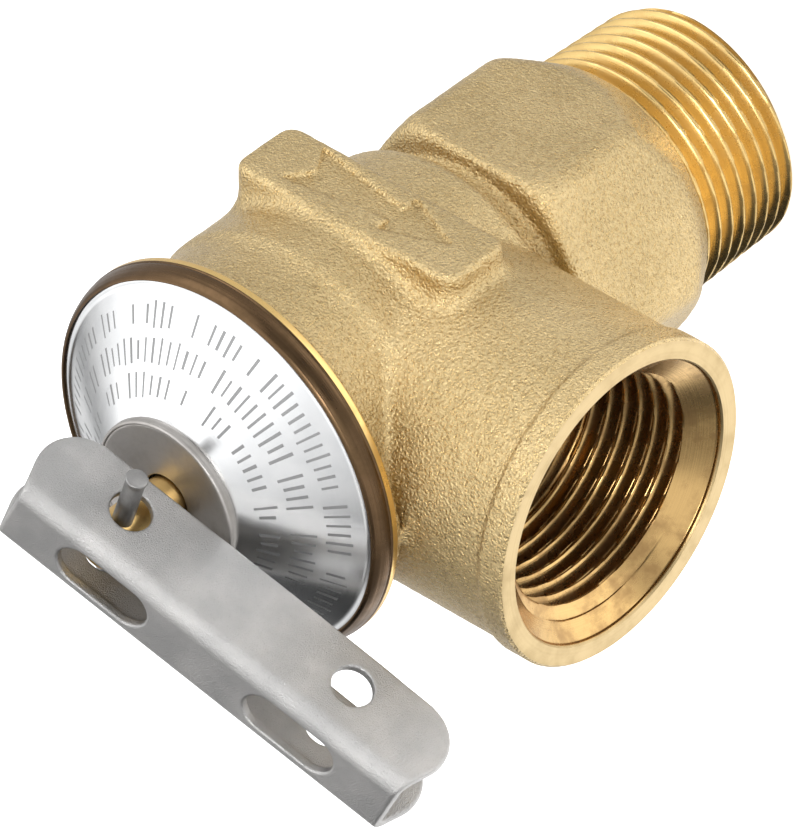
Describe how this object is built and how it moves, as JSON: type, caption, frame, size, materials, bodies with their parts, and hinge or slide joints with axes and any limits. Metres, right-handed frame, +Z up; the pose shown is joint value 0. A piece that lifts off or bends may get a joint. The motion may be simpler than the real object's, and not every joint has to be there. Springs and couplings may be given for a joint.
{
  "type": "pressure relief valve",
  "caption": "Brass angle relief valve with a male threaded inlet, wrench hexagon, threaded side outlet, spring-loaded seat disc, crimped conical plate and a channel-shaped hand test lever.",
  "frame": {"origin": "centre of the inlet's end face, on the valve's axis", "axes": "+Z up the valve's axis from the inlet to the test lever, +X out of the side outlet, +Y towards the flow-arrow pad"},
  "size_m": [0.0555, 0.041, 0.0907],
  "materials": {
    "cast_brass": "sand-blasted forging, machined at threads, faces and rim",
    "machined_brass": "turned",
    "bronze": "turned, dull",
    "stainless": "tumbled",
    "spring_steel": "drawn wire",
    "plated_steel": "plated, dull",
    "dark_steel": "drawn pin, dull",
    "plate_aluminium": "satin, lightly brushed",
    "seat_rubber": "moulded silicone rubber",
    "seal_rubber": "moulded rubber",
    "gasket_fibre": "pressed fibre and rubber sheet",
    "ptfe": "white low-friction plastic"
  },
  "bodies": {
    "housing": {"valve_body": "cast_brass", "upper_spring_washer": "plated_steel", "spring_adjuster": "machined_brass", "adjuster_lock_ring": "machined_brass", "bonnet_gasket": "gasket_fibre", "bonnet": "stainless", "name_plate": "plate_aluminium", "seal_gland": "machined_brass", "stem_seal": "seal_rubber", "cap_washer": "plated_steel", "stem_guide_bush": "bronze"},
    "disc_group": {"seat_disc": "seat_rubber", "disc_holder": "machined_brass", "disc_retainer_washer": "plated_steel", "disc_screw": "stainless", "lower_spring_cup": "plated_steel", "main_spring": "spring_steel"},
    "stem_group": {"lift_stem": "machined_brass", "stem_thrust_washer": "ptfe", "lever_pin": "dark_steel"},
    "lever": {"test_lever": "stainless"}
  },
  "joints": [
    {"name": "relief_lift", "type": "slide", "parent": "housing", "child": "disc_group", "axis": [0, 0, 1], "range_m": [0, 0.00345], "deforming": ["main_spring"]},
    {"name": "lever_swivel", "type": "hinge", "parent": "disc_group", "child": "stem_group", "pos_m": [0, 0, 0.08313], "axis": [0, 0, 1], "continuous": true},
    {"name": "lever_lift", "type": "hinge", "parent": "stem_group", "child": "lever", "pos_m": [0, 0, 0.08313], "axis": [-0.4486, -0.8934, -0.024], "range_deg": [0, 90]}
  ],
  "couplings": [
    {"joint": "lever_lift", "follows": "relief_lift", "rad_per_m": 454.5}
  ]
}
